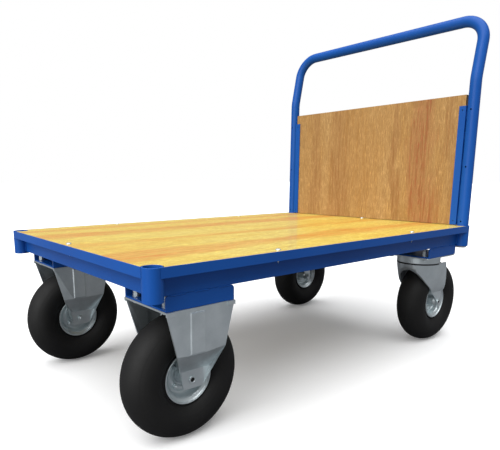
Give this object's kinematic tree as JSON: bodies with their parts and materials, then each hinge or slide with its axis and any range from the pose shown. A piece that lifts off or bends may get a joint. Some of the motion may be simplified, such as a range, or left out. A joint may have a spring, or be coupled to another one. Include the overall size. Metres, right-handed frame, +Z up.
{
  "type": "platform trolley",
  "caption": "Four-wheeled platform trolley with a wooden deck in a steel frame, a plug-in push handle with end board, fixed front and swivel rear casters on air tyres.",
  "frame": {"origin": "on the floor, under the middle of the whole object's box", "axes": "+X towards the handle end, +Y to the right-hand side of the person pushing, +Z up"},
  "size_m": [1.221, 0.742, 0.9895],
  "materials": {
    "blue_paint": "smooth satin powder coat, mid blue",
    "deck_wood": "clear lacquered veneer, honey yellow with orange streaks, grain along the deck",
    "board_wood": "clear lacquered veneer, tan, grain upright",
    "zinc_steel": "bright zinc plating on pressed steel, satin",
    "dark_steel": "blackened steel, satin",
    "tyre_rubber": "smooth black rubber, no tread pattern, dull",
    "grey_plastic": "light grey moulded plastic, matt"
  },
  "bodies": {
    "frame": {"deck_board": "deck_wood", "edge_angle_front": "blue_paint", "edge_angle_rear": "blue_paint", "edge_angle_left": "blue_paint", "edge_angle_right": "blue_paint", "side_rail_left": "blue_paint", "side_rail_right": "blue_paint", "end_rail_front": "blue_paint", "end_rail_rear": "blue_paint", "cross_member_front": "blue_paint", "cross_member_middle": "blue_paint", "cross_member_rear": "blue_paint", "corner_socket_front_left": "blue_paint", "corner_socket_front_right": "blue_paint", "corner_socket_rear_left": "blue_paint", "corner_socket_rear_right": "blue_paint", "caster_channel_front_left": "blue_paint", "caster_channel_front_right": "blue_paint", "caster_channel_rear_left": "blue_paint", "caster_channel_rear_right": "blue_paint", "deck_screw_left_front": "zinc_steel", "deck_screw_left_rear": "zinc_steel", "deck_screw_right_front": "zinc_steel", "deck_screw_right_rear": "zinc_steel", "deck_screw_front": "zinc_steel", "deck_screw_rear": "zinc_steel", "fixed_fork_front_left": "zinc_steel", "fixed_fork_front_right": "zinc_steel", "axle_bolt_front_left": "zinc_steel", "axle_bolt_front_right": "zinc_steel", "axle_nut_front_left": "zinc_steel", "axle_nut_front_right": "zinc_steel", "swivel_plate_rear_left": "zinc_steel", "swivel_plate_rear_right": "zinc_steel", "king_bolt_rear_left": "dark_steel", "king_bolt_rear_right": "dark_steel"},
    "handle": {"push_handle": "blue_paint", "end_board": "board_wood", "board_angle_left": "blue_paint", "board_angle_right": "blue_paint", "handle_plug_left": "grey_plastic", "handle_plug_right": "grey_plastic"},
    "swivel_left": {"swivel_fork_rear_left": "zinc_steel", "axle_bolt_rear_left": "zinc_steel", "axle_nut_rear_left": "zinc_steel"},
    "swivel_right": {"swivel_fork_rear_right": "zinc_steel", "axle_bolt_rear_right": "zinc_steel", "axle_nut_rear_right": "zinc_steel"},
    "wheel_front_left": {"tyre_front_left": "tyre_rubber", "wheel_rim_front_left": "zinc_steel", "wheel_hub_front_left": "zinc_steel"},
    "wheel_front_right": {"tyre_front_right": "tyre_rubber", "wheel_rim_front_right": "zinc_steel", "wheel_hub_front_right": "zinc_steel"},
    "wheel_rear_left": {"tyre_rear_left": "tyre_rubber", "wheel_rim_rear_left": "zinc_steel", "wheel_hub_rear_left": "zinc_steel"},
    "wheel_rear_right": {"tyre_rear_right": "tyre_rubber", "wheel_rim_rear_right": "zinc_steel", "wheel_hub_rear_right": "zinc_steel"}
  },
  "joints": [
    {"name": "handle_lift", "type": "slide", "parent": "frame", "child": "handle", "axis": [0, 0, 1], "range_m": [0, 0.07]},
    {"name": "swivel_turn_left", "type": "hinge", "parent": "frame", "child": "swivel_left", "pos_m": [0.4145, -0.271, 0.27], "axis": [0, 0, 1], "continuous": true},
    {"name": "swivel_turn_right", "type": "hinge", "parent": "frame", "child": "swivel_right", "pos_m": [0.4145, 0.271, 0.27], "axis": [0, 0, 1], "continuous": true},
    {"name": "wheel_spin_front_left", "type": "hinge", "parent": "frame", "child": "wheel_front_left", "pos_m": [-0.4805, -0.271, 0.13], "axis": [0, 1, 0], "continuous": true},
    {"name": "wheel_spin_front_right", "type": "hinge", "parent": "frame", "child": "wheel_front_right", "pos_m": [-0.4805, 0.271, 0.13], "axis": [0, 1, 0], "continuous": true},
    {"name": "wheel_spin_rear_left", "type": "hinge", "parent": "swivel_left", "child": "wheel_rear_left", "pos_m": [0.4805, -0.271, 0.13], "axis": [0, 1, 0], "continuous": true},
    {"name": "wheel_spin_rear_right", "type": "hinge", "parent": "swivel_right", "child": "wheel_rear_right", "pos_m": [0.4805, 0.271, 0.13], "axis": [0, 1, 0], "continuous": true}
  ]
}
